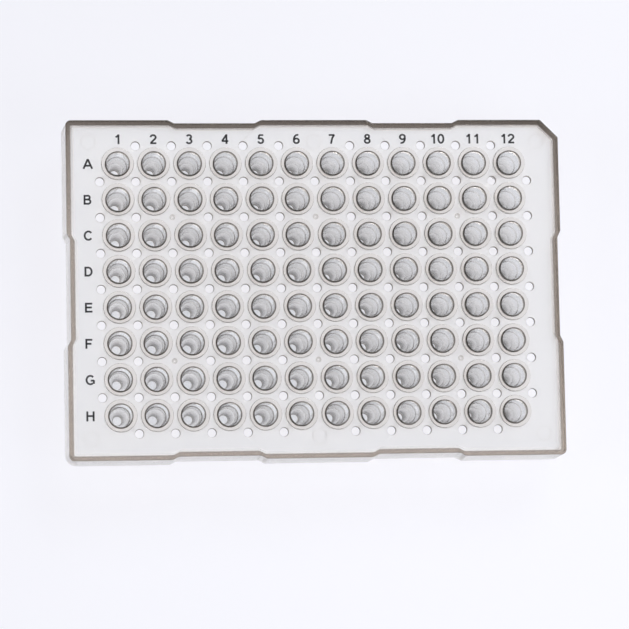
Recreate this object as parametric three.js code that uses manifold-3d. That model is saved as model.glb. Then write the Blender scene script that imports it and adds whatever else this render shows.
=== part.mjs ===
// A 96-well plate with a half-height skirt, moulded in one piece from thin translucent plastic.
// Millimetres, +Z up. The plate stands on the tips of its wells, mouths up; the origin is under its
// middle on the surface it stands on. +X runs along a row from column 1 to 12, +Y towards row A.
import * as THREE from "three";
import { mergeVertices } from "three/addons/utils/BufferGeometryUtils.js";
import Module from "manifold-3d";

// Grid of wells
const columns = 12;
const rows = 8;
const pitch = 9;

// Deck: the flat plate that carries the wells
const endMargin = 12.85; // from the first and last columns' centres to the deck's edge
const sideMargin = 11.05; // from the first and last rows' centres to the deck's edge
const deckThickness = 1.1;
const deckCornerRadius = 1.3;
const cutCorner = 4.5; // leg of the corner cut off beside A12, which says which way round the plate is

// Skirt: the wall round the deck's edge
const skirtHeight = 10; // from the deck's top face to the lower edge
const skirtWall = 1.2;
const skirtFlare = 0.75; // how far the lower edge stands out past the deck's edge
const footCornerRadius = 2.8; // at the lower edge

// Recesses that a gripper's fingers find in the skirt
const recessDepth = 0.8;
const recessRun = 1.6; // length of the slope at each end of a recess
const longSideRecess = 20.3; // floor of each of the two recesses in a long side
const longSideSpacing = 50.1; // between the middles of those two
const shortSideRecess = 25; // floor of the one recess in a short side

// Well: a raised rim, a nearly straight collar and a cone with a blunt tip
const overallHeight = 20.9;
const rimHeight = 0.8; // above the deck
const rimRadius = 4.12; // at the deck
const rimDraft = 0.12; // how much narrower the rim is at its top
const mouthRadius = 3.05;
const collarRadius = 2.8; // where the collar ends and the cone starts
const collarDepth = 5.6; // below the rim's top
const floorRadius = 1.2;
const floorThickness = 0.5;
const wellWall = 0.35; // of the cone

// Holes through the deck between the wells, and the dimples left by the mould's gates
const holeRadius = 1.15;
const dimpleRadius = 0.8;
const dimpleDepth = 0.4;
const gateBlock = 4; // each gate feeds a block of 4 by 4 wells from its middle

// Facets of the round forms. Their corners lie as far outside the true circle as their flats lie inside.
const wellSides = 8;
const tipSides = 4;
const holeSides = 4;
const cornerFacets = 4; // round each corner of the deck and skirt
const overlap = 0.3; // how far a solid reaches into the one it joins, or a cutter past the face it opens

const wasm = await Module();
wasm.setup();

// Heights and sizes that follow from those above
const deckTop = overallHeight - rimHeight;
const deckUnderside = deckTop - deckThickness;
const skirtFoot = deckTop - skirtHeight;
const deckLength = (columns - 1) * pitch + 2 * endMargin;
const deckWidth = (rows - 1) * pitch + 2 * sideMargin;

// A closed three.js geometry as a solid that can be joined and cut
function solid(geometry) {
  geometry.deleteAttribute("normal");
  geometry.deleteAttribute("uv");
  const merged = mergeVertices(geometry);
  return new wasm.Manifold(
    new wasm.Mesh({
      numProp: 3,
      vertProperties: new Float32Array(merged.attributes.position.array),
      triVerts: new Uint32Array(merged.index.array),
    }),
  );
}

// Corners of a regular polygon that has the area of a circle, anticlockwise
function roundSection(radius, sides) {
  const step = (2 * Math.PI) / sides;
  const reach = radius * Math.sqrt(step / Math.sin(step));
  return Array.from(
    { length: sides },
    (_, i) => new THREE.Vector2(reach * Math.cos(i * step), reach * Math.sin(i * step)),
  );
}

// A closed solid through a stack of sections, from the lowest up. A section has as many corners as the one
// above it or half as many, so that a narrow tip takes fewer facets than the wide mouth.
function loft(levels) {
  const positions = [];
  const triangles = [];
  const rings = levels.map(({ section, z }) =>
    section.map(({ x, y }) => {
      positions.push(x, y, z);
      return positions.length / 3 - 1;
    }),
  );
  const at = (ring, i) => ring[(i + ring.length) % ring.length];
  for (let level = 0; level + 1 < rings.length; level += 1) {
    const lower = rings[level];
    const upper = rings[level + 1];
    const below = (i) => Math.round(((i + 0.5) * lower.length) / upper.length);
    for (let i = 0; i < upper.length; i += 1) {
      triangles.push(at(upper, i), at(lower, below(i)), at(upper, i + 1));
      if (below(i) !== below(i - 1)) {
        triangles.push(at(upper, i), at(lower, below(i - 1)), at(lower, below(i)));
      }
    }
  }
  const bottom = rings[0];
  const top = rings[rings.length - 1];
  for (const [a, b, c] of THREE.ShapeUtils.triangulateShape(levels[0].section, [])) {
    triangles.push(bottom[a], bottom[c], bottom[b]);
  }
  for (const [a, b, c] of THREE.ShapeUtils.triangulateShape(levels[levels.length - 1].section, [])) {
    triangles.push(top[a], top[b], top[c]);
  }
  const geometry = new THREE.BufferGeometry();
  geometry.setAttribute("position", new THREE.Float32BufferAttribute(positions, 3));
  geometry.setIndex(triangles);
  return solid(geometry);
}

// Outline of the deck moved in by inset, or out where that is negative: one side after another,
// anticlockwise from the A1 corner
function outline(inset, cornerRadius) {
  const x = deckLength / 2 - inset;
  const y = deckWidth / 2 - inset;
  const round = Math.max(cornerRadius - Math.max(inset, 0), cornerRadius / 4);
  const cut = cutCorner - inset * (2 - Math.SQRT2);
  const shift = inset * Math.tan(Math.atan2(recessDepth, recessRun) / 2);
  const shape = new THREE.Shape();

  // A recess about middle, in a side that runs in the direction along, with the deck on its left
  function recess(middle, floorLength, along) {
    const inward = new THREE.Vector2(-along.y, along.x);
    const half = floorLength / 2 - shift;
    const corners = [
      [-half - recessRun, 0],
      [-half, recessDepth],
      [half, recessDepth],
      [half + recessRun, 0],
    ];
    for (const [far, deep] of corners) {
      const corner = middle.clone().addScaledVector(along, far).addScaledVector(inward, deep);
      shape.lineTo(corner.x, corner.y);
    }
  }
  const [right, up, left, down] = [0, 1, 2, 3].map(
    (turn) => new THREE.Vector2([1, 0, -1, 0][turn], [0, 1, 0, -1][turn]),
  );
  const off = longSideSpacing / 2;

  shape.absarc(-x + round, y - round, round, Math.PI / 2, Math.PI, false);
  recess(new THREE.Vector2(-x, 0), shortSideRecess, down);
  shape.absarc(-x + round, -y + round, round, Math.PI, 1.5 * Math.PI, false);
  recess(new THREE.Vector2(-off, -y), longSideRecess, right);
  recess(new THREE.Vector2(off, -y), longSideRecess, right);
  shape.absarc(x - round, -y + round, round, 1.5 * Math.PI, 2 * Math.PI, false);
  recess(new THREE.Vector2(x, 0), shortSideRecess, up);
  shape.lineTo(x, y - cut);
  shape.lineTo(x - cut, y);
  recess(new THREE.Vector2(off, y), longSideRecess, left);
  recess(new THREE.Vector2(-off, y), longSideRecess, left);
  return shape.getPoints(cornerFacets / 2);
}

// The deck with its skirt: an upturned tray whose wall flares out downwards
function deckAndSkirt() {
  const outside = loft([
    { section: outline(-skirtFlare, footCornerRadius), z: skirtFoot },
    { section: outline(0, deckCornerRadius), z: deckTop },
  ]);
  const flareUnderDeck = (skirtFlare * deckThickness) / skirtHeight;
  const inside = loft([
    { section: outline(skirtWall - skirtFlare, footCornerRadius), z: skirtFoot },
    { section: outline(skirtWall - flareUnderDeck, deckCornerRadius), z: deckUnderside },
  ]);
  return outside.subtract(inside);
}

// What one well adds to the deck: the rim above it and the tube below it
function wellBody() {
  const collarZ = overallHeight - collarDepth;
  const tipRadius = floorRadius + wellWall;
  const widening = (collarRadius + wellWall - tipRadius) / collarZ;
  const tubeRadius = tipRadius + widening * deckUnderside;
  const tube = loft([
    { section: roundSection(tipRadius, tipSides), z: 0 },
    { section: roundSection(tubeRadius, wellSides), z: deckUnderside },
    { section: roundSection(tubeRadius, wellSides), z: deckUnderside + overlap },
  ]);
  const rim = loft([
    { section: roundSection(rimRadius, wellSides), z: deckTop - overlap },
    { section: roundSection(rimRadius, wellSides), z: deckTop },
    { section: roundSection(rimRadius - rimDraft, wellSides), z: overallHeight },
  ]);
  return [rim, tube];
}

// What is hollow in one well
function wellHollow() {
  return loft([
    { section: roundSection(floorRadius, tipSides), z: floorThickness },
    { section: roundSection(collarRadius, wellSides), z: overallHeight - collarDepth },
    { section: roundSection(mouthRadius, wellSides), z: overallHeight },
    { section: roundSection(mouthRadius, wellSides), z: overallHeight + overlap },
  ]);
}

// A cutter that goes down from above the deck to a depth
function drill(radius, depth) {
  const section = roundSection(radius, holeSides);
  return loft([
    { section, z: deckTop - depth },
    { section, z: deckTop + overlap },
  ]);
}

// Centres of the wells
function wellPlaces() {
  const places = [];
  for (let row = 0; row < rows; row += 1) {
    for (let column = 0; column < columns; column += 1) {
      places.push([(column - (columns - 1) / 2) * pitch, (row - (rows - 1) / 2) * pitch]);
    }
  }
  return places;
}

// Centres of the spots half a pitch off the wells, sorted into holes and gates. The four corners have
// neither, and the middle of each long margin is left whole.
function spotsBetweenWells() {
  const holes = [];
  const gates = [];
  for (let j = 0; j <= rows; j += 1) {
    for (let i = 0; i <= columns; i += 1) {
      const place = [(i - columns / 2) * pitch, (j - rows / 2) * pitch];
      const inEndMargin = i === 0 || i === columns;
      const inSideMargin = j === 0 || j === rows;
      const isGate = i % gateBlock === gateBlock / 2 && j % gateBlock === gateBlock / 2;
      const isBare = inSideMargin && (inEndMargin || i === columns / 2);
      if (isGate) gates.push(place);
      else if (!isBare) holes.push(place);
    }
  }
  return { holes, gates };
}

const copies = (shape, places) => places.map(([x, y]) => shape.translate([x, y, 0]));
const together = (solids) => solids.reduce((whole, next) => whole.add(next));

const wells = wellPlaces();
const { holes, gates } = spotsBetweenWells();
const [rim, tube] = wellBody();
const plate = together([deckAndSkirt(), ...copies(rim, wells), ...copies(tube, wells)])
  .subtract(together(copies(wellHollow(), wells)))
  .subtract(together(copies(drill(holeRadius, deckThickness + overlap), holes)))
  .subtract(together(copies(drill(dimpleRadius, dimpleDepth), gates)));

// The finished solid back as a three.js geometry
const { vertProperties, triVerts } = plate.getMesh();
const geometry = new THREE.BufferGeometry();
geometry.setAttribute("position", new THREE.Float32BufferAttribute(vertProperties, 3));
geometry.setIndex(Array.from(triVerts));
geometry.computeVertexNormals();

const plastic = new THREE.MeshStandardMaterial({ color: 0xe6e4e0, roughness: 0.35, metalness: 0 });
const wellPlate = new THREE.Mesh(geometry, plastic);
wellPlate.name = "well_plate";

const model = new THREE.Group();
model.add(wellPlate);

export default model;
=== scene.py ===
# %% [markdown]
# # A well plate in translucent plastic
# The object is a plate of small wells that a laboratory fills with liquid samples. It is moulded in one
# shot from natural polypropylene, a plastic that is nearly clear where it is thin and turns a smoky brown
# where the eye looks along it. There is one solid piece, and letters and numbers printed on its deck.
#
# Each cell below makes one step. A cell of words comes first and says what the real thing is like, how it
# could be made in Blender, and why it is made the way it is.

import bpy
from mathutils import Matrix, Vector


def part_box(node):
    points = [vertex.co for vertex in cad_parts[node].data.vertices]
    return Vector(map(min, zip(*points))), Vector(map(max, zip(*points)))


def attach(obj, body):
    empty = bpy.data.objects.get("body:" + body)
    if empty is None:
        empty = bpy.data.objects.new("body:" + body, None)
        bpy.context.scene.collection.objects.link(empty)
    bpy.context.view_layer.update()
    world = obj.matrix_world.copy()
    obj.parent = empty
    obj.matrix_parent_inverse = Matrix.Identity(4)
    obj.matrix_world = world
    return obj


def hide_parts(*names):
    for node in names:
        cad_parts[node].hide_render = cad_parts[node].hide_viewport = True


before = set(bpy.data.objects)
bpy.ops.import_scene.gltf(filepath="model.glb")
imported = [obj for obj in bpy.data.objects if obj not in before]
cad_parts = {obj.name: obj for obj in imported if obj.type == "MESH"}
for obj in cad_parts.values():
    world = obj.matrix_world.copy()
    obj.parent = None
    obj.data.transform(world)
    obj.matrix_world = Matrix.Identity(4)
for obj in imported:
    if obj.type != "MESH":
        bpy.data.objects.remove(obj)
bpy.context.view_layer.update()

# %% [markdown]
# ## Sizes
# The frame gives the plate's outer box, and the few sizes that a moulder would write on the drawing give
# the rest. They could be measured off the faceted solid instead, but then its flats would come along, and
# the fine surface has to be round. All sizes are in millimetres, and the mesh is scaled to metres at the
# very end, so that the numbers stay easy to read.

# %% Sizes of the moulding
import math

import bmesh
import bpy
import numpy as np
from mathutils import Matrix, Vector

MM = 0.001
low, high = [[value / MM for value in corner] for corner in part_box("well_plate")]

columns, rows, pitch = 12, 8, 9.0
foot_length, foot_width = high[0] - low[0], high[1] - low[1]
top_z = high[2]
rim_height = 0.8
deck_z = top_z - rim_height
deck_thickness = 1.1
under_z = deck_z - deck_thickness
skirt_height = 10.0
skirt_wall = 1.2
skirt_flare = 0.75
deck_length = foot_length - 2 * skirt_flare
deck_width = foot_width - 2 * skirt_flare
print("deck, mm:", round(deck_length, 2), "by", round(deck_width, 2), "top at", round(deck_z, 2))

# %% [markdown]
# ## One skin for one moulding
# Light has to pass through this plastic, so the mesh must be one closed skin. Overlapping pieces would show
# their hidden walls inside the plastic like panes of glass. Booleans could cut the holes, but hundreds of
# them are slow and leave ragged triangles that spoil a smooth highlight. Here the skin is laid down by
# hand instead: rings of corners, bands of faces between two rings, and a few flat fills. Each corner also
# keeps two numbers. Frost is 1 on the faces that the mould's texture dulls, and 0 on most of a well, which
# comes off polished steel. The second number, tint and shade, darkens the colour of the surface. Part of it
# is the cream and brown of thick plastic. The rest is painted shade: it stands in for the dark edges,
# stripes and rings that bent light draws on steep walls, edges and well mouths.

# %% The skin builder
corners, corner_frost, corner_tint_and_shade, faces = [], [], [], []


def ring(points, z, frost, tint_and_shade):
    """Adds a closed row of corners at one height, and gives their numbers."""
    first = len(corners)
    corners.extend((x, y, z) for x, y in points)
    corner_frost.extend([frost] * len(points))
    corner_tint_and_shade.extend([tint_and_shade] * len(points))
    return list(range(first, len(corners)))


def bands(rings):
    """Faces between each ring and the next one. Outside is on the right of the way from ring to ring."""
    for first, second in zip(rings, rings[1:]):
        count = len(first)
        for i in range(count):
            j = (i + 1) % count
            faces.append((first[i], first[j], second[j], second[i]))


def fan(tip, rim, upwards):
    """Closes a round end with triangles that meet at its middle."""
    count = len(rim)
    for i in range(count):
        j = (i + 1) % count
        faces.append((tip, rim[i], rim[j]) if upwards else (tip, rim[j], rim[i]))


print("corners and faces so far:", len(corners), len(faces))

# %% [markdown]
# ## Rounded lines
# Outlines and sections are drawn as sharp corners, each with the radius that belongs there, because that is
# how a drawing states them. A moulding has no sharp edges, so one helper puts an arc in place of each
# corner. A bevel modifier could round the finished mesh instead, but it would also cut into the fine rings
# of the wells.

# %% Circles and rounded lines
def circle(centre, radius, sides):
    turn = 2 * math.pi / sides
    return [
        (centre[0] + radius * math.cos(i * turn), centre[1] + radius * math.sin(i * turn))
        for i in range(sides)
    ]


def rounded(points, step_angle, closed):
    """A line of corners (x, y, radius, and more), with an arc in place of each one that turns enough."""
    made = []
    count = len(points)
    for i, (x, y, radius, *more) in enumerate(points):
        if not closed and i in (0, count - 1):
            made.append((x, y, *more))
            continue
        here = Vector((x, y))
        back = (Vector(points[i - 1][:2]) - here).normalized()
        ahead = (Vector(points[(i + 1) % count][:2]) - here).normalized()
        half = back.angle(ahead) / 2
        turn = (math.pi - 2 * half) * (1 if back.cross(ahead) < 0 else -1)
        steps = round(abs(turn) / math.radians(step_angle))
        if radius == 0 or steps == 0:
            made.append((x, y, *more))
            continue
        centre = here + (back + ahead).normalized() * radius / math.sin(half)
        start = here + back * radius / math.tan(half) - centre
        for step in range(steps + 1):
            c, s = math.cos(turn * step / steps), math.sin(turn * step / steps)
            spot = (centre.x + c * start.x - s * start.y, centre.y + s * start.x + c * start.y)
            made.append((*spot, *more))
    return made


square = [(0, 0, 1), (4, 0, 1), (4, 4, 1), (0, 4, 1)]
print("corners of a square, and of the same one rounded:", 4, len(rounded(square, 9, closed=True)))

# %% [markdown]
# ## The outline
# Seen from above, the plate is a rectangle with two finger recesses in each long side, one in each short
# side, and one corner cut off to tell the user where well A1 is. A bezier curve could draw it, but the
# recesses have to keep their slopes when the outline is moved in for the inner wall. So the outline is a
# list of sharp corners, worked out for any inset, and each one is then rounded with a short arc.

# %% The outline at any inset
recess_depth, recess_run, recess_round = 0.8, 1.6, 1.0
long_recess, long_spacing, short_recess = 20.3, 50.1, 25.0
cut_corner, cut_round = 4.5, 0.5
deck_corner, outline_step = 1.3, 9


def outline(inset, corner_radius):
    """The deck's outline moved in by inset, or out where that is negative, anticlockwise from A1."""
    x, y = deck_length / 2 - inset, deck_width / 2 - inset
    shift = inset * math.tan(math.atan2(recess_depth, recess_run) / 2)
    cut = cut_corner - inset * (2 - math.sqrt(2))

    def recess(middle, floor, along):
        inward = (-along[1], along[0])
        half = floor / 2 - shift
        steps = [(-half - recess_run, 0), (-half, recess_depth)]
        steps += [(half, recess_depth), (half + recess_run, 0)]
        return [
            (
                middle[0] + far * along[0] + deep * inward[0],
                middle[1] + far * along[1] + deep * inward[1],
                recess_round,
            )
            for far, deep in steps
        ]

    off = long_spacing / 2
    points = [(-x, y, corner_radius)]
    points += recess((-x, 0), short_recess, (0, -1))
    points += [(-x, -y, corner_radius)]
    points += recess((-off, -y), long_recess, (1, 0)) + recess((off, -y), long_recess, (1, 0))
    points += [(x, -y, corner_radius)]
    points += recess((x, 0), short_recess, (0, 1))
    points += [(x, y - cut, cut_round), (x - cut, y, cut_round)]
    points += recess((off, y), long_recess, (-1, 0)) + recess((-off, y), long_recess, (-1, 0))
    return rounded(points, outline_step, closed=True)


print("outline corners:", len(outline(0, deck_corner)))

# %% [markdown]
# ## The skirt
# The deck's edge turns down into a wall that hangs round the plate and flares out a little, so that the
# moulding leaves its mould. Both faces of the wall are bands between outlines. The edges get small
# rounds, as every moulded edge has, and these catch the thin bright lines that make plastic look real.
# A solidify modifier could give a single sheet its thickness, but not the two flares and their rounds.

# %% The wall's section
edge_round, inner_round, edge_step = 0.25, 0.3, 30
foot_z = deck_z - skirt_height
edge_shade_reach = 0.6  # how far the painted shade of an edge reaches along the wall
border_frost_and_shade = [(0, 0.3, 0.3), (0.25, 0.3, 0.35), (0.6, 0.6, 0.15), (1, 1, 0)]  # past the wall, frost, painted shade of the grey strip beside the wall


def outer_at(z):
    return -skirt_flare * (deck_z - z) / skirt_height


def inner_at(z):
    return skirt_wall + outer_at(z)


def wall_section():
    """The wall as corners (inset, height, round, frost, tint and shade), from under the deck round to the
    top.

    The first and the last corner only give their neighbours a direction, and are dropped.
    """
    # Both edges of the wall are darkened. Part of that is the brown of thick plastic, and part is painted
    # shade for the dark stripes that bent light draws along them. Past the wall, a painted strip of shade
    # greys the deck beside it.
    line = [
        (inner_at(under_z) + 2 * inner_round, under_z, 0, 1, 0),
        (inner_at(under_z), under_z, inner_round, 0.5, 0),
        (inner_at(foot_z + edge_shade_reach), foot_z + edge_shade_reach, 0, 0.3, 0),
        (inner_at(foot_z), foot_z, edge_round, 0.3, 0.45),
        (outer_at(foot_z), foot_z, edge_round, 0.3, 0.45),
        (outer_at(foot_z + edge_shade_reach), foot_z + edge_shade_reach, 0, 0.3, 0),
        (outer_at(deck_z - edge_shade_reach), deck_z - edge_shade_reach, 0, 0.3, 0),
        (0, deck_z, edge_round, 0.3, 0.4),
        (edge_shade_reach, deck_z, 0, 0.3, 0.25),
        *[(inner_at(under_z) + past, deck_z, 0, frost, tint_and_shade) for past, frost, tint_and_shade in border_frost_and_shade],
        (inner_at(under_z) + 2, deck_z, 0, 1, 0),
    ]
    return rounded(line, edge_step, closed=False)[1:-1]


print("corners in the wall's section:", len(wall_section()))

# %% [markdown]
# ## The faces of the skirt
# The plate's corners are tight on the deck and rounder at the foot of the skirt, and the inner face turns
# more tightly still. A bevelled curve could sweep the section along the outline, but it would give every
# height the same corner. So each corner of the section gets an outline of its own, and bands join them.

# %% Faces of the skirt
foot_corner, least_corner = 2.8, 0.3


def corner_at(inset, z):
    """The radius of the plate's corners, which grows down the skirt and shrinks with the inset."""
    share = (deck_z - z) / skirt_height
    return max(deck_corner + (foot_corner - deck_corner) * share - max(inset, 0), least_corner)


wall_rings = [
    ring(outline(inset, corner_at(inset, z)), z, frost, tint_and_shade) for inset, z, frost, tint_and_shade in wall_section()
]
bands(wall_rings)
under_edge, deck_edge = wall_rings[0], wall_rings[-1]
print("skirt faces:", len(faces))

# %% [markdown]
# ## Painted shade round the skirt
# From above, the walls show through the deck as a smoky border. It is darkest along the far side and palest
# along the near one, since the far wall leans along the line of sight and the near wall leans across it.
# The path of light through the plastic makes some of that by itself. The rest is painted shade, for the
# way the light falls on each side. It could be painted by hand, but the sides are straight, so a formula is
# enough: it multiplies the tint-and-shade number of each corner by a factor for the side on which that
# corner lies.

# %% Painted shade round the skirt
even_side_shade, side_shade_x, side_shade_y, least_side_shade = 0.5, 0.25, 1.15, 0.2
side_power = 9


def side_shade(x, y):
    """A factor for the painted shade by side. The high power keeps it even along a side, and turns it at the
    corners.
    """
    share_x, share_y = x / (deck_length / 2), y / (deck_width / 2)
    return max(least_side_shade, even_side_shade + side_shade_x * share_x**side_power + side_shade_y * share_y**side_power)


for index, (x, y, z) in enumerate(corners):
    corner_tint_and_shade[index] *= side_shade(x, y)
half_x, half_y = deck_length / 2, deck_width / 2
factors = [side_shade(0, half_y), side_shade(0, -half_y), side_shade(-half_x, 0), side_shade(half_x, 0)]
print("smoke factors, far, near, left and right:", [round(factor, 2) for factor in factors])

# %% [markdown]
# ## The wells
# Each well is a tube with a raised rim on top, a nearly straight collar that a cap or film seals against,
# and a long cone that ends in a small rounded floor. Every one is the same, so one section is drawn and
# turned round each centre on the grid. A lathe or screw modifier would do the same for one well, but here
# the rings have to share their corners with the deck, so they go into the one skin directly.

# %% Sizes of a well
rim_radius, rim_draft = 4.12, 0.12
mouth_radius, collar_radius, collar_depth = 2.87, 2.76, 5.6
shoulder, shoulder_drop = 0.3, 2.4
floor_radius, floor_thickness, well_wall = 1.1, 0.5, 0.2
neck_radius, neck_draft, neck_drop = 3.14, 0.02, 0.3
lip_width = 0.27
collar_z = top_z - collar_depth
tip_radius = floor_radius + well_wall

cone_top, cone_top_z = collar_radius - shoulder, collar_z - shoulder_drop


def cone_at(z):
    """The cone's inner radius at a height."""
    return floor_radius + (cone_top - floor_radius) * (z - floor_thickness) / (cone_top_z - floor_thickness)


print("cone's inner radius at its top and at its floor:", cone_top, floor_radius)

# %% [markdown]
# ## A well's two lines
# The section comes in two lines: the outside of the tube under the deck, and the rim with the hollow inside
# it. The outermost corner of each line only gives its neighbour a direction and is dropped. So is the first
# corner of the tube and the last one of the hollow, where one corner in the middle closes the round floor.
# One line would do for a well on its own, but the deck's two faces meet this one between its two lines.

# %% Sections of a well
well_sides, well_step = 30, 45
mouth_painted_shade = [(0.03, 0.4, 0.9), (0.035, 0.5, 0)]  # narrower by, below the top, painted shade
cone_frost_and_shade = [(9, 0, 0.1), (5, 0.1, 0.4), (1.5, 0.7, 0.9)]  # height, frost, painted shade
tube_line = [  # radius, height, round, frost, tint and shade
    (0, 0, 0, 0.5, 0),
    (tip_radius, 0, 0.4, 0.5, 0),
    (cone_top + well_wall, cone_top_z, 0, 0, 0),
    (collar_radius + well_wall, collar_z, 0, 0, 0),
    (neck_radius - neck_draft, under_z - neck_drop, 0, 0, 0),
    (neck_radius, under_z, 0.1, 1, 0),
    (neck_radius + 1, under_z, 0, 1, 0),
]
rim_line = [
    (rim_radius + 1, deck_z, 0, 1, 0),
    (rim_radius, deck_z, 0.1, 1, 0),
    (rim_radius - rim_draft, top_z, 0.15, 0.3, 0.05),
    (mouth_radius + lip_width, top_z, 0, 0.3, 0.05),
    # The mouth's rounded edge and the wall just under it are painted dark. This is painted shade for the
    # dark ring that bent light draws round each mouth.
    (mouth_radius, top_z, 0.16, 0, 1),
    *[(mouth_radius - draft, top_z - drop, 0, 0, tint_and_shade) for draft, drop, tint_and_shade in mouth_painted_shade],
    (collar_radius, collar_z, 0, 0, 0),
    # The middle of the step from collar to cone is painted a little darker, as painted shade along the step.
    ((collar_radius + cone_top) / 2, (collar_z + cone_top_z) / 2, 0, 0, 0.15),
    (cone_top, cone_top_z, 0, 0, 0),
    # The cone is painted darker towards its floor: painted shade deep in the well.
    *[(cone_at(z), z, 0, frost, tint_and_shade) for z, frost, tint_and_shade in cone_frost_and_shade],
    (floor_radius, floor_thickness, 0, 0, 0),
    (0, floor_thickness, 0, 0, 0),
]
tube_section = rounded(tube_line, well_step, closed=False)[1:-1]
rim_section = rounded(rim_line, well_step, closed=False)[1:-1]
print("rings in a well:", len(tube_section) + len(rim_section))

# %% [markdown]
# ## The grid of wells
# Twelve columns and eight rows stand nine millimetres apart, which is the pitch that pipettes and heating
# blocks share. An array modifier could repeat one well, but the deck between the wells has to be one sheet
# with gaps. So each well is built in its place, and it leaves two open loops, one in the deck's upper face
# and one in its lower face, for the fill at the end.

# %% Wells on their grid
under_loops, deck_loops = [under_edge], [deck_edge]


def pole(centre, z):
    return ring([centre], z, 0.0, 0.0)[0]


def well(centre):
    tube = [ring(circle(centre, row[0], well_sides), *row[1:]) for row in tube_section]
    bands(tube)
    fan(pole(centre, 0), tube[0], upwards=False)
    under_loops.append(tube[-1])
    hollow = [ring(circle(centre, row[0], well_sides), *row[1:]) for row in rim_section]
    bands(hollow)
    fan(pole(centre, floor_thickness), hollow[-1], upwards=True)
    deck_loops.append(hollow[0])


well_centres = [
    ((column - (columns - 1) / 2) * pitch, ((rows - 1) / 2 - row) * pitch)
    for row in range(rows)
    for column in range(columns)
]
for centre in well_centres:
    well(centre)
print("wells:", len(well_centres), "faces so far:", len(faces))

# %% [markdown]
# ## Holes between the wells
# Small holes go through the deck half a pitch off the wells. They let air and heat pass, and save plastic.
# A few of these spots hold the dimples where the plastic ran into the mould instead, one in the middle of
# each block of four by four wells. The pins that shape the holes are tapered, so that they pull out of the
# hardened plastic, and from above a sliver of each hole's wall shows. That wall is painted dark, as painted
# shade for the dark edge that bent light draws there. Each dimple is painted a little darker inside, as
# painted shade in its hollow.

# %% Holes and gate dimples
hole_radius, hole_sides, hole_round, hole_taper = 1.15, 20, 0.08, 0.07
dimple_radius, dimple_depth = 0.8, 0.25
gate_block = 4


def hole(centre):
    section = [
        (hole_radius + hole_round, deck_z, 1, 0),
        # The wall's corners carry painted shade, which darkens the wall.
        (hole_radius, deck_z - hole_round, 1, 0.95),
        (hole_radius - hole_taper, under_z + hole_round, 1, 0.95),
        (hole_radius - hole_taper + hole_round, under_z, 1, 0),
    ]
    rings = [ring(circle(centre, row[0], hole_sides), *row[1:]) for row in section]
    bands(rings)
    deck_loops.append(rings[0])
    under_loops.append(rings[-1])


def dimple(centre):
    section = [
        (dimple_radius, deck_z, 1, 0),
        # The inner rings are painted a little darker: painted shade in the hollow.
        (dimple_radius * 0.85, deck_z - dimple_depth * 0.2, 0.5, 0.35),
        (dimple_radius * 0.45, deck_z - dimple_depth * 0.9, 0.5, 0.3),
    ]
    rings = [ring(circle(centre, row[0], hole_sides), *row[1:]) for row in section]
    bands(rings)
    fan(pole(centre, deck_z - dimple_depth), rings[-1], upwards=True)
    deck_loops.append(rings[0])


holes_made = 0
for j in range(rows + 1):
    for i in range(columns + 1):
        centre = ((i - columns / 2) * pitch, (j - rows / 2) * pitch)
        in_side_margin, in_end_margin = j in (0, rows), i in (0, columns)
        if i % gate_block == gate_block / 2 and j % gate_block == gate_block / 2:
            dimple(centre)
        elif not (in_side_margin and (in_end_margin or i == columns / 2)):
            hole(centre)
            holes_made += 1
print("holes:", holes_made)

# %% [markdown]
# ## Marks of the ejector pins
# Steel pins push the moulding out, and each leaves a shallow round mark under the deck, which shows through
# as a faint ring. Part of the ring is the real step, and part is painted shade along its sloped edge. A
# label window at one end is a shallow step of the same kind. Bump mapping could fake them on top, but they
# are on the far face, so they are cut into it as real steps.

# %% Ejector marks and the label window
pin_radius, pin_slope, pin_shade_reach, pin_sides = 1.95, 0.12, 0.3, 28
pin_x, pin_y = 56.8, 37.1
window_x, window_y, window_slope = (55.8, 59.5), (-19.5, 19.5), 0.05
mark_depth = 0.04


def pin_mark(centre):
    low_ring = ring(circle(centre, pin_radius, pin_sides), under_z, 1, 0)
    # The sloped edge is painted darker, as painted shade along the step.
    high_ring = ring(circle(centre, pin_radius - pin_slope, pin_sides), under_z + mark_depth, 1, 0.5)
    flat_ring = ring(circle(centre, pin_radius - pin_shade_reach, pin_sides), under_z + mark_depth, 1, 0)
    bands([flat_ring, high_ring, low_ring])
    fan(ring([centre], under_z + mark_depth, 1, 0)[0], flat_ring, upwards=False)
    under_loops.append(low_ring)


def window_loop(inset, z):
    (x0, x1), (y0, y1) = window_x, window_y
    x0, x1, y0, y1 = x0 + inset, x1 - inset, y0 + inset, y1 - inset
    return ring([(x0, y0), (x1, y0), (x1, y1), (x0, y1)], z, 1, 0)


pin_centres = [(x, y) for x in (-pin_x, 0, pin_x) for y in (-pin_y, pin_y)]
for centre in pin_centres:
    pin_mark(centre)
window = [window_loop(window_slope, under_z + mark_depth / 2), window_loop(0, under_z)]
bands(window)
faces.append(tuple(reversed(window[0])))
under_loops.append(window[1])
print("pin marks under the deck:", len(pin_centres))

# %% [markdown]
# ## The flat faces of the deck
# The two faces of the deck are flat sheets with hundreds of round gaps. Blender's fill tool closes the space
# between loops of edges by itself, so the loops that the wells, holes and skirt left open are handed to it.
# The sheets are then the moulding's only flat-shaded faces, which keeps the rounds beside them from
# smearing. The loops of the wells, holes and marks all have frost 1 and no tint or painted shade, so that
# the long triangles between them have nothing to blend and stay unseen.

# %% Fill the deck
mesh = bpy.data.meshes.new("plate_moulding")
mesh.from_pydata(corners, [], faces)
work = bmesh.new()
work.from_mesh(mesh)
work.verts.ensure_lookup_table()
for face in work.faces:
    face.smooth = True


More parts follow.
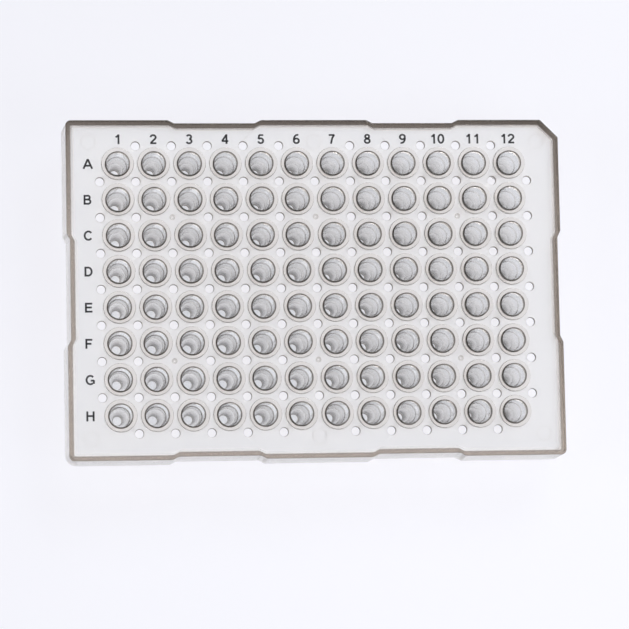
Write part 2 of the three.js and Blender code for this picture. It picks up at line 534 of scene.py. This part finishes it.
def fill(loops, up):
    edges = []
    for loop in loops:
        for a, b in zip(loop, loop[1:] + loop[:1]):
            edges.append(work.edges.get((work.verts[a], work.verts[b])))
    made = bmesh.ops.triangle_fill(work, edges=edges, use_beauty=True, normal=(0, 0, 1 if up else -1))
    sheet = [item for item in made["geom"] if isinstance(item, bmesh.types.BMFace)]
    for face in sheet:
        face.smooth = False
        face.normal_update()
        if (face.normal.z > 0) != up:
            face.normal_flip()
    return sheet


top_sheet = fill(deck_loops, up=True)
under_sheet = fill(under_loops, up=False)
bmesh.ops.scale(work, vec=(MM, MM, MM), verts=work.verts)
open_edges = sum(1 for edge in work.edges if not edge.is_manifold)
volume = work.calc_volume()
work.to_mesh(mesh)
work.free()
print("sheet faces:", len(top_sheet), "and", len(under_sheet), "open edges:", open_edges)

# %% [markdown]
# ## The finished moulding
# The two numbers of each corner become attributes, which a material can read by name. Vertex colours would
# carry them as well, but an attribute holds one plain number and keeps its full precision. A weighted
# normal modifier then makes the large faces rule the shading, so that the rounds turn the light and the
# flats stay flat.

# %% The moulding as an object
for name, values in (("frost", corner_frost), ("tint_and_shade", corner_tint_and_shade)):
    layer = mesh.attributes.new(name, "FLOAT", "POINT")
    layer.data.foreach_set("value", np.array(values, dtype=np.float32))
mesh.update()
plate = bpy.data.objects.new("plate_moulding", mesh)
bpy.context.collection.objects.link(plate)
even = plate.modifiers.new("even_normals", "WEIGHTED_NORMAL")
even.weight = 100
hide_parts("well_plate")
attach(plate, "root")
mesh.calc_loop_triangles()
print("triangles:", len(mesh.loop_triangles), "plastic, cm3:", round(volume * 1e6, 2))

# %% [markdown]
# ## Ink on the deck
# Letters for the rows and numbers for the columns are pad-printed in black. Blender's own font is thinner
# than such print and its 1 looks like a bar, and a texture would need an image. So each mark is drawn the
# way a sign painter does it, as strokes: lines and arcs on a cell one unit high, thickened to flat ribbons.
# The ink lies a hundredth of a millimetre above the deck, about as thick as it is.

# %% Strokes of the letters and numbers
stroke = 0.185
stem = stroke / 2  # the middle of a stem at the left edge of its cell


def arc(x, y, rx, ry, start, end, steps=14):
    """Points on an arc round (x, y), from one angle to another, in degrees."""
    turns = [math.radians(start + (end - start) * i / steps) for i in range(steps + 1)]
    return [(x + rx * math.cos(turn), y + ry * math.sin(turn)) for turn in turns]


top_line, low_line = 1 - stem, stem
strokes = {
    "A": [[(0.03, 0), (0.45, 1)], [(0.45, 1), (0.87, 0)], [(0.17, 0.32), (0.73, 0.32)]],
    "B": [
        [(stem, 0), (stem, 1)],
        [(stem, top_line), (0.38, top_line), *arc(0.38, 0.73, 0.22, 0.20, 80, -80, 8)],
        [(0.38, 0.53), (stem, 0.53)],
        [(0.38, 0.53), *arc(0.42, 0.305, 0.24, 0.227, 80, -80, 8), (0.38, low_line), (stem, low_line)],
    ],
    "C": [arc(0.42, 0.5, 0.36, 0.43, 38, 322)],
    "D": [
        [(stem, 0), (stem, 1)],
        [(stem, top_line), (0.33, top_line), *arc(0.33, 0.5, 0.36, 0.42, 80, -80), (0.33, low_line)],
        [(0.35, low_line), (stem, low_line)],
    ],
    "E": [
        [(stem, 0), (stem, 1)],
        [(stem, top_line), (0.70, top_line)],
        [(stem, 0.52), (0.66, 0.52)],
        [(stem, low_line), (0.72, low_line)],
    ],
    "F": [[(stem, 0), (stem, 1)], [(stem, top_line), (0.66, top_line)], [(stem, 0.50), (0.58, 0.50)]],
    "G": [arc(0.43, 0.5, 0.37, 0.43, 42, 310), [(0.47, 0.44), (0.80, 0.44)], [(0.765, 0.48), (0.765, 0.12)]],
    "H": [[(stem, 0), (stem, 1)], [(0.70, 0), (0.70, 1)], [(stem, 0.53), (0.70, 0.53)]],
    "0": [arc(0.33, 0.5, 0.255, 0.43, 0, 360, 24)],
    "1": [[(0.46, 0), (0.46, 1)], [(0.46, 0.95), (0.34, 0.80), (0.18, 0.72)]],
    "2": [
        [*arc(0.33, 0.69, 0.25, 0.235, 175, -25, 12), (0.11, low_line + 0.05)],
        [(0.04, low_line), (0.64, low_line)],
    ],
    "3": [arc(0.32, 0.73, 0.22, 0.20, 160, -80, 12), arc(0.32, 0.29, 0.25, 0.22, 85, -165, 14)],
    "4": [[(0.48, 0), (0.48, 1)], [(0.48, 0.95), (0.06, 0.32)], [(0.02, 0.30), (0.66, 0.30)]],
    "5": [
        [(0.16, top_line), (0.60, top_line)],
        [(0.19, top_line), (0.12, 0.50)],
        arc(0.33, 0.33, 0.25, 0.255, 140, -165, 16),
    ],
    "6": [arc(0.34, 0.31, 0.25, 0.24, 0, 360, 20), arc(0.45, 0.42, 0.36, 0.51, 180, 75, 10)],
    "7": [[(0.04, top_line), (0.60, top_line)], [(0.58, 0.93), (0.38, 0.60), (0.24, 0)]],
    "8": [arc(0.33, 0.745, 0.20, 0.18, 0, 360, 20), arc(0.33, 0.29, 0.25, 0.215, 0, 360, 20)],
    "9": [arc(0.32, 0.69, 0.25, 0.24, 0, 360, 20), arc(0.21, 0.58, 0.36, 0.51, 0, -105, 10)],
}
advance, letter_width, digit_width = 0.80, 0.78, 0.66
print("glyphs:", "".join(strokes))

# %% [markdown]
# ## Ribbons of ink
# A stroke becomes a ribbon of flat faces, whose corners are moved off the line to both sides. A curve with
# a bevel would make it too, but as a round cord that has to be flattened again.

# %% Writing with ribbons
letter_height, ink_gap = 2.45, 0.01
pair_shift, stretch = 0.09, 1.05
ink_work = bmesh.new()


def ribbon(points, spot):
    """A flat strip along a line of points, with its corners mitred."""
    sides = []
    for i, point in enumerate(points):
        before = Vector(points[max(i - 1, 0)])
        after = Vector(points[min(i + 1, len(points) - 1)])
        along = (after - before).normalized()
        off = Vector((-along.y, along.x)) * stroke / 2
        pair = (Vector(point) + off, Vector(point) - off)
        sides.append([ink_work.verts.new(spot @ Vector((p.x, p.y, 0))) for p in pair])
    for (a, b), (c, d) in zip(sides, sides[1:]):
        ink_work.faces.new((a, b, d, c))


def write(text, x, y):
    """Prints a mark with its middle at (x, y)."""
    letter_length = letter_height * stretch
    width = advance * (len(text) - 1) + (letter_width if text.isalpha() else digit_width)
    x -= (width / 2 + pair_shift * (len(text) - 1)) * letter_length
    for i, glyph in enumerate(text):
        start = (x + i * advance * letter_length, y - letter_height / 2, deck_z + ink_gap)
        spot = Matrix.Translation(start) @ Matrix.Diagonal((letter_length, letter_height, letter_height, 1))
        for line in strokes[glyph]:
            ribbon(line, Matrix.Scale(MM, 4) @ spot)


print("width of a stroke, mm:", round(stroke * letter_height, 2))

# %% [markdown]
# ## Where the marks stand
# Each letter stands beside its row and each number above its column. They could be cut into the moulding's
# mesh, but ink and plastic never share a material, so the print is an object of its own that lies on the
# deck. It follows the moulding by riding on its body.

# %% Printed coordinates
letters_x, numbers_y = -57.05, 37.7
for row in range(rows):
    write(chr(ord("A") + row), letters_x, ((rows - 1) / 2 - row) * pitch)
for column in range(columns):
    write(str(column + 1), (column - (columns - 1) / 2) * pitch, numbers_y)
ink_mesh = bpy.data.meshes.new("printed_marks")
ink_work.to_mesh(ink_mesh)
ink_work.free()
printed = bpy.data.objects.new("printed_marks", ink_mesh)
bpy.context.collection.objects.link(printed)
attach(printed, "root")
print("faces in the print:", len(ink_mesh.polygons))

# %% [markdown]
# ## Helpers for materials
# A material is a small graph: texture nodes make numbers, maths nodes change them, and a shader uses them.
# Wiring each node by hand takes four or five lines. A few short helpers add a node with its inputs in one
# line, so that the cells below read like a recipe.

# %% Node helpers
def new_material(name):
    made = bpy.data.materials.new(name)
    made.use_nodes = True
    made.node_tree.nodes.clear()
    return made, made.node_tree


def add(tree, kind, inputs=None, **settings):
    """Adds a node, with its settings and the values of its inputs. A socket is linked, a value is set."""
    node = tree.nodes.new(kind)
    for name, value in settings.items():
        setattr(node, name, value)
    for name, value in (inputs or {}).items():
        if isinstance(value, bpy.types.NodeSocket):
            tree.links.new(value, node.inputs[name])
        else:
            node.inputs[name].default_value = value
    return node


print("helpers ready: new_material, add")

# %% [markdown]
# ## Numbers and colours in a graph
# Most of a material is small sums: a noise is moved to the span that a roughness needs, a number picks a
# colour, or a few factors are multiplied. Frames or node groups could hold these sums, but three more
# helpers do it in a line each and leave nothing hidden.

# %% Helpers for numbers and colours
def span(tree, value, low_value, high_value, start=0.0, end=1.0):
    """A number moved from the span start..end to the span low..high."""
    sizes = {"Value": value, "From Min": start, "From Max": end, "To Min": low_value, "To Max": high_value}
    return add(tree, "ShaderNodeMapRange", sizes).outputs["Result"]


def ramp(tree, value, stops):
    """Colours along a number, from stops (place, red, green, blue) in rising order."""
    node = add(tree, "ShaderNodeValToRGB", {"Fac": value})
    elements = node.color_ramp.elements
    for place, *_ in stops[1:-1]:
        elements.new(place)
    for element, (place, *colour) in zip(elements, stops):
        element.position = place
        element.color = (*colour, 1)
    return node.outputs["Color"]


def times(tree, value, *factors):
    """The product of a few numbers or sockets."""
    for factor in factors:
        value = add(tree, "ShaderNodeMath", {0: value, 1: factor}, operation="MULTIPLY").outputs[0]
    return value


print("helpers ready: span, ramp, times")

# %% [markdown]
# ## The plastic
# Natural polypropylene lets light through and swallows a little of it on the way, more blue than red. A
# tint on the surface would make a thin sheet and a deep wall equally brown. The real cause is depth, so the
# colour comes from absorption inside the volume: the thin deck stays a light grey, and the walls and rims
# turn smoky where they are seen edge on. The frost number steers the roughness, and a fine grain on the
# dull faces gives the highlights their soft break-up. On top of that, the tint-and-shade number paints the
# surface through four tones. They are a clear skin, the cream of a thin edge, a brown of steep walls that is
# partly thick plastic and partly painted shade, and a near black that is painted shade for the dark ring of
# a well's mouth. Shadow rays skip all of this and meet a nearly clear skin, which keeps the wells bright
# inside.

# %% Translucent polypropylene
plastic, tree = new_material("translucent_plastic")
place = add(tree, "ShaderNodeTexCoord").outputs["Object"]
dull = add(tree, "ShaderNodeAttribute", attribute_name="frost").outputs["Fac"]
grain = add(tree, "ShaderNodeTexNoise", {"Vector": place, "Scale": 2600.0, "Detail": 3.0}).outputs["Fac"]
cloud = add(tree, "ShaderNodeTexNoise", {"Vector": place, "Scale": 90.0, "Detail": 2.0}).outputs["Fac"]
tint_and_shade_level = add(tree, "ShaderNodeAttribute", attribute_name="tint_and_shade").outputs["Fac"]
polish = span(tree, dull, 0.04, 0.4)
uneven = span(tree, cloud, -0.03, 0.03, 0.3, 0.7)
roughness = add(tree, "ShaderNodeMath", {0: polish, 1: uneven}, operation="ADD").outputs[0]
relief = span(tree, dull, 0.02, 0.12)
bump = add(
    tree, "ShaderNodeBump", {"Height": grain, "Strength": relief, "Distance": 0.0001}
).outputs["Normal"]
# The brown and the near black tones are painted shade in the surface colour.
clear_tone, cream_tone = (0, 0.975, 0.975, 0.98), (0.05, 1.0, 0.97, 0.94)
wall_brown_and_shade_tone, mouth_shade_tone = (0.5, 0.34, 0.31, 0.28), (1, 0.02, 0.017, 0.014)
tint_and_shade_colour = ramp(tree, tint_and_shade_level, [clear_tone, cream_tone, wall_brown_and_shade_tone, mouth_shade_tone])
depth = add(tree, "ShaderNodeVolumeAbsorption")
depth.inputs["Color"].default_value = (0.51, 0.42, 0.335, 1)
depth.inputs["Density"].default_value = 170.0
shell = add(
    tree,
    "ShaderNodeBsdfPrincipled",
    {
        "Base Color": tint_and_shade_colour,
        "Roughness": roughness,
        "IOR": 1.49,
        "Transmission Weight": span(tree, dull, 0.96, 0.82),
        "Normal": bump,
    },
)
clear = add(tree, "ShaderNodeBsdfTransparent", {"Color": (0.93, 0.92, 0.905, 1)})
rays = add(tree, "ShaderNodeLightPath").outputs
skin = add(
    tree, "ShaderNodeMixShader", {0: rays["Is Shadow Ray"], 1: shell.outputs[0], 2: clear.outputs[0]}
)
add(tree, "ShaderNodeOutputMaterial", {"Surface": skin.outputs[0], "Volume": depth.outputs[0]})
mesh.materials.append(plastic)
print("plastic nodes:", len(tree.nodes))

# %% [markdown]
# ## The ink
# Pad-printed ink is a thin matte black film that dries unevenly. A flat black would look cut out of paper.
# Two noises give it life instead: a broad one moves its grey a little, and a fine one dimples its surface.

# %% Printing ink
ink, tree = new_material("printing_ink")
place = add(tree, "ShaderNodeTexCoord").outputs["Object"]
patch = add(tree, "ShaderNodeTexNoise", {"Vector": place, "Scale": 700.0, "Detail": 4.0}).outputs["Fac"]
grain = add(tree, "ShaderNodeTexNoise", {"Vector": place, "Scale": 6000.0}).outputs["Fac"]
shade = ramp(tree, patch, [(0.3, 0.020, 0.020, 0.022), (0.75, 0.040, 0.040, 0.044)])
bump = add(tree, "ShaderNodeBump", {"Height": grain, "Strength": 0.3, "Distance": 0.00005}).outputs["Normal"]
film = add(
    tree,
    "ShaderNodeBsdfPrincipled",
    {"Base Color": shade, "Roughness": span(tree, patch, 0.5, 0.65), "Normal": bump},
)
add(tree, "ShaderNodeOutputMaterial", {"Surface": film.outputs[0]})
ink_mesh.materials.append(ink)
print("ink nodes:", len(tree.nodes))

# %% [markdown]
# ## The table
# The plate stands on a white table, made as one large flat face that reaches far past the picture. A
# curved studio backdrop would do as well, but from above only the table is seen.

# %% The table
reach = 3.0
table_mesh = bpy.data.meshes.new("table")
table_mesh.from_pydata(
    [(-reach, -reach, 0), (reach, -reach, 0), (reach, reach, 0), (-reach, reach, 0)], [], [(0, 1, 2, 3)]
)
table = bpy.data.objects.new("table", table_mesh)
bpy.context.collection.objects.link(table)
print("table, m:", tuple(table.dimensions))

# %% [markdown]
# ## White for every ray that looks
# A see-through thing takes its looks from what is round it, so the table has to be white for every ray that
# looks at it, through the plastic as well as past it. Stronger lamps would do that too, but they would burn
# out the object. So the table glows a little, but only for rays that look, and the rest of its white comes
# from the lamps, which leaves it a real shadow. Each slant makes the glow a little stronger on one side, as
# near a window. The glow fades away from the middle, and the dimmer far table is what draws the dark lines
# in the curved edges. Seen through the plastic it is a little cooler, which balances the warm tint of the
# thin deck and leaves the thicker rims their cream. From below, the table is left out.

# %% White paint with a glow
near_x, near_y = 0.08, 0.05  # metres from the middle, a little more than the plate
glow_beside, glow_through = 0.665, 0.615
white, tree = new_material("white_table")
place = add(tree, "ShaderNodeTexCoord").outputs["Object"]
mottle = add(tree, "ShaderNodeTexNoise", {"Vector": place, "Scale": 4.0}).outputs["Fac"]
paint = add(
    tree,
    "ShaderNodeMix",
    {"Factor": mottle, "A": (0.29, 0.29, 0.30, 1), "B": (0.32, 0.32, 0.33, 1)},
    data_type="RGBA",
)
matte = add(tree, "ShaderNodeBsdfDiffuse", {"Color": paint.outputs[2]})
away = add(tree, "ShaderNodeVectorMath", {0: place}, operation="LENGTH").outputs["Value"]
spot = add(tree, "ShaderNodeSeparateXYZ", {0: place}).outputs
place_x, place_y = spot["X"], spot["Y"]
rays = add(tree, "ShaderNodeLightPath").outputs
slant_x = span(tree, place_x, 0.965, 1.035, -near_x, near_x)
slant_y = span(tree, place_y, 1.015, 0.965, -near_y, near_y)
even_x = span(tree, place_x, 1.05, 0.93, -near_x, near_x)
fade = span(tree, away, 1.0, 0.3, 0.12, 0.6)
looking = add(
    tree, "ShaderNodeMath", {0: rays["Is Camera Ray"], 1: rays["Is Glossy Ray"]}, operation="MAXIMUM"
)
bright = times(tree, looking.outputs[0], slant_x, slant_y, glow_beside)
past = times(tree, rays["Is Transmission Ray"], even_x, slant_y, slant_y, fade, glow_through)
strength = add(tree, "ShaderNodeMath", {0: bright, 1: past}, operation="MAXIMUM")
cool = add(
    tree,
    "ShaderNodeMix",
    {"Factor": rays["Is Transmission Ray"], "A": (0.975, 0.98, 1.055, 1), "B": (0.94, 0.995, 1.1, 1)},
    data_type="RGBA",
)
glow = add(tree, "ShaderNodeEmission", {"Color": cool.outputs[2], "Strength": strength.outputs[0]})
lit = add(tree, "ShaderNodeAddShader", {0: matte.outputs[0], 1: glow.outputs[0]})
under = add(tree, "ShaderNodeBsdfTransparent")
side = add(tree, "ShaderNodeNewGeometry").outputs["Backfacing"]
seen = add(tree, "ShaderNodeMixShader", {0: side, 1: lit.outputs[0], 2: under.outputs[0]})
add(tree, "ShaderNodeOutputMaterial", {"Surface": seen.outputs[0]})
table_mesh.materials.append(white)
print("table nodes:", len(tree.nodes))

# %% [markdown]
# ## Sky and lamps
# The laboratory look is even and nearly shadowless. A soft dome does most of that work: it is pale above
# and darker towards the horizon, so that curved plastic has something to mirror. Three large, weak discs
# of light add gentle highlights on the rims. One small bright lamp would be simpler, but it would leave
# hard sparkles in hundreds of curved walls.

# %% Sky and lamps
world = bpy.data.worlds.new("studio")
bpy.context.scene.world = world
world.use_nodes = True
tree = world.node_tree
tree.nodes.clear()
up = add(tree, "ShaderNodeTexCoord").outputs["Generated"]
height = add(tree, "ShaderNodeSeparateXYZ", {0: up}).outputs["Z"]
horizon, zenith = (0, 0.30, 0.30, 0.31), (1, 0.80, 0.80, 0.82)
dome = ramp(tree, span(tree, height, 0.0, 1.0, -0.2, 1.0), [horizon, zenith])
rays = add(tree, "ShaderNodeLightPath").outputs
soft = add(tree, "ShaderNodeBackground", {"Color": dome, "Strength": 0.45})
plain = add(tree, "ShaderNodeBackground", {"Color": (0.90, 0.90, 0.93, 1), "Strength": 1.0})
sky = add(
    tree, "ShaderNodeMixShader", {0: rays["Is Camera Ray"], 1: soft.outputs[0], 2: plain.outputs[0]}
)
add(tree, "ShaderNodeOutputWorld", {"Surface": sky.outputs[0]})


def lamp(name, spot, size, watts):
    """A disc of light that faces the middle of the plate."""
    light = bpy.data.lights.new(name, "AREA")
    light.shape = "DISK"
    light.size = size
    light.energy = watts
    holder = bpy.data.objects.new(name, light)
    holder.location = spot
    holder.rotation_euler = (-Vector(spot)).to_track_quat("-Z", "Y").to_euler()
    bpy.context.collection.objects.link(holder)


lamp("softbox_back", (0.35, 0.75, 0.9), 0.7, 7.0)
lamp("softbox_left", (-0.85, -0.1, 0.7), 0.6, 4.0)
lamp("fill_right", (0.8, -0.5, 0.9), 0.8, 3.0)
print("lamps:", len(bpy.data.lights))

# %% [markdown]
# ## The camera
# A long lens looks down on the plate from about three quarters of a metre, a little left of it and a little
# below, and is turned by about half a degree. The lens is what makes the wells lean apart: those far from
# the camera's foot show more of their walls, and only the near ones show their floors.

# %% Camera
camera_place = Vector((-88.2, -81.1, 756.4))
camera_data = bpy.data.cameras.new("camera")
camera_data.lens = 170.54
camera_data.sensor_width = 36.0
camera_data.clip_start = 0.05
camera = bpy.data.objects.new("camera", camera_data)
bpy.context.collection.objects.link(camera)
right, upwards = Vector((0.993059, -0.020508, 0.115817)), Vector((0.0087, 0.99479, 0.101565))
backwards = right.cross(upwards).normalized()
turn = Matrix((right, upwards, backwards)).transposed().to_4x4()
camera.matrix_world = Matrix.Translation(camera_place * MM) @ turn
bpy.context.scene.camera = camera
bpy.context.scene.view_settings.view_transform = "Standard"
print("camera distance, mm:", round(camera_place.length))
